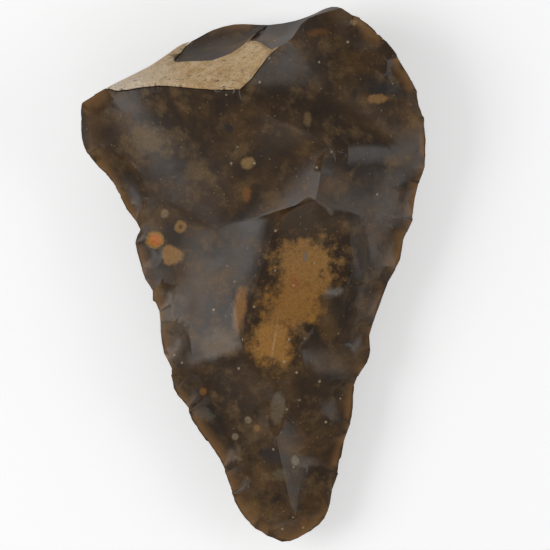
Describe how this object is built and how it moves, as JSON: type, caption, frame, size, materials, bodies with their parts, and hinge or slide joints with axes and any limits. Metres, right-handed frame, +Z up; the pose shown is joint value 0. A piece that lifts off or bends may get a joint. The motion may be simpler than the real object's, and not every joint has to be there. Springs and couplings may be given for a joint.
{
  "type": "hand axe",
  "caption": "Pointed flint hand axe, flaked on both faces, with a thick butt and a strip of pale rind.",
  "frame": {"origin": "under the middle of the stone's outline, on the plane of the flat facet that it rests on", "axes": "+Z up from the resting facet, +Y along the length towards the thick butt, -Y towards the tip, +X across to the right as seen from above"},
  "size_m": [0.096, 0.1498, 0.042],
  "materials": {
    "flint_body": "dark brown glossy flint with ochre mottles",
    "cortex_rind": "pale cream-tan matt cortex"
  },
  "bodies": {
    "root": {"flint_body": "flint_body", "cortex_rind": "cortex_rind"}
  },
  "joints": []
}
